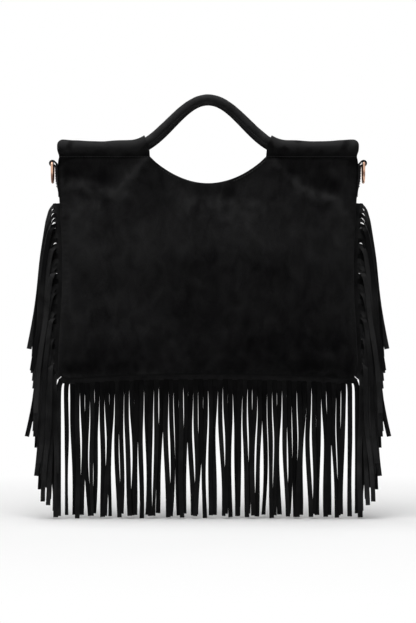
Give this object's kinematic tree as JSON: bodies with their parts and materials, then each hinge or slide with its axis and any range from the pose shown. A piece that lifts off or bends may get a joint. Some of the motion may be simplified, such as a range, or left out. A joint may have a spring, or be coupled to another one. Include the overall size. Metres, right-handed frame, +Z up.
{
  "type": "fringed bag",
  "caption": "Soft suede pouch bag with an arched wrapped handle in sleeve-like top casings, a rounded grip cut-out, hanging fringe along its sides and bottom, and strap rings in side tabs.",
  "frame": {"origin": "under the crown of the arched handles, half way between the front and back handle, where a hand or hook carries the bag", "axes": "+Z up, along the bag's height; +X to the bag's right seen from the front; the front faces -Y"},
  "size_m": [0.4214, 0.056, 0.4945],
  "materials": {
    "suede": "napped black suede",
    "fringe_suede": "napped black suede, cut edges",
    "lining_cloth": "dark twill",
    "rod_core": "matte",
    "rose_gold": "polished rose gold plating"
  },
  "bodies": {
    "bag": {"front_panel": "suede", "back_panel": "suede", "front_handle_core": "rod_core", "back_handle_core": "rod_core", "front_handle_wrap": "suede", "back_handle_wrap": "suede", "lining": "lining_cloth", "bottom_fringe": "fringe_suede", "left_fringe": "fringe_suede", "right_fringe": "fringe_suede", "left_ring_tab": "suede", "right_ring_tab": "suede", "snap_socket": "rose_gold", "snap_stud": "rose_gold"},
    "left_ring": {"left_strap_ring": "rose_gold"},
    "right_ring": {"right_strap_ring": "rose_gold"}
  },
  "joints": [
    {"name": "left_ring_swing", "type": "hinge", "parent": "bag", "child": "left_ring", "pos_m": [-0.1812, 0, -0.06865], "axis": [0, 1, 0], "range_deg": [-3, 180]},
    {"name": "right_ring_swing", "type": "hinge", "parent": "bag", "child": "right_ring", "pos_m": [0.1812, 0, -0.06865], "axis": [0, -1, 0], "range_deg": [-3, 180]}
  ]
}
